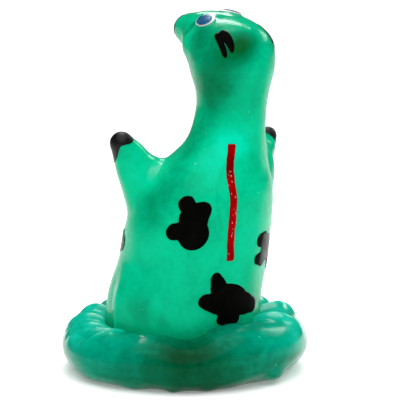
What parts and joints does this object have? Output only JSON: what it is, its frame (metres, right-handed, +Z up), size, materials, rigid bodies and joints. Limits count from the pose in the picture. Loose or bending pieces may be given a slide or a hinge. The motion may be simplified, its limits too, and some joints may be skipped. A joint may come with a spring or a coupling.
{
  "type": "latex animal figure",
  "caption": "Hollow soft latex animal figure with a long neck, two stub arms and painted spots, standing on its own rolled rim.",
  "frame": {"origin": "middle of the rolled rim's footprint, on the surface the figure stands on", "axes": "+Z up; the figure faces -Y, and its left hand is at +X"},
  "size_m": [0.0518, 0.0518, 0.0771],
  "materials": {
    "latex_green": "glossy translucent dipped latex",
    "paint_black": "satin flexible paint",
    "paint_red": "satin flexible paint",
    "paint_white": "glossy flexible paint",
    "paint_blue": "glossy flexible paint"
  },
  "bodies": {
    "torso": {"torso_skin": "latex_green", "rim_outer_turn": "latex_green", "rim_inner_turn": "latex_green", "rim_bead": "latex_green", "back_stripe_paint": "paint_red", "upper_back_spot": "paint_black", "lower_back_spot": "paint_black", "right_side_spot": "paint_black", "left_side_spot": "paint_black"},
    "neck": {"neck_skin": "latex_green"},
    "head": {"head_skin": "latex_green", "nose_paint": "paint_black", "left_eye_white": "paint_white", "right_eye_white": "paint_white", "left_eye_blue": "paint_blue", "right_eye_blue": "paint_blue", "left_ear_paint": "paint_black", "right_ear_paint": "paint_black"},
    "left_arm": {"left_arm_skin": "latex_green", "left_hand_paint": "paint_black"},
    "right_arm": {"right_arm_skin": "latex_green", "right_hand_paint": "paint_black"}
  },
  "joints": [
    {"name": "neck_sway", "type": "hinge", "parent": "torso", "child": "neck", "pos_m": [-0.0044, 0.009, 0.0505], "axis": [0, 1, 0], "range_deg": [-14, 14], "stiffness_Nm_per_rad": 0.01},
    {"name": "head_nod", "type": "hinge", "parent": "neck", "child": "head", "pos_m": [-0.0051, 0.0098, 0.0605], "axis": [0.9781, 0.2079, 0], "range_deg": [-12, 15], "stiffness_Nm_per_rad": 0.01},
    {"name": "left_arm_flex", "type": "hinge", "parent": "torso", "child": "left_arm", "pos_m": [0.0114, -0.0012, 0.0436], "axis": [0, 1, 0], "range_deg": [-20, 20], "stiffness_Nm_per_rad": 0.0005},
    {"name": "right_arm_flex", "type": "hinge", "parent": "torso", "child": "right_arm", "pos_m": [-0.017, 0.0012, 0.044], "axis": [0, 1, 0], "range_deg": [-20, 20], "stiffness_Nm_per_rad": 0.0005}
  ]
}
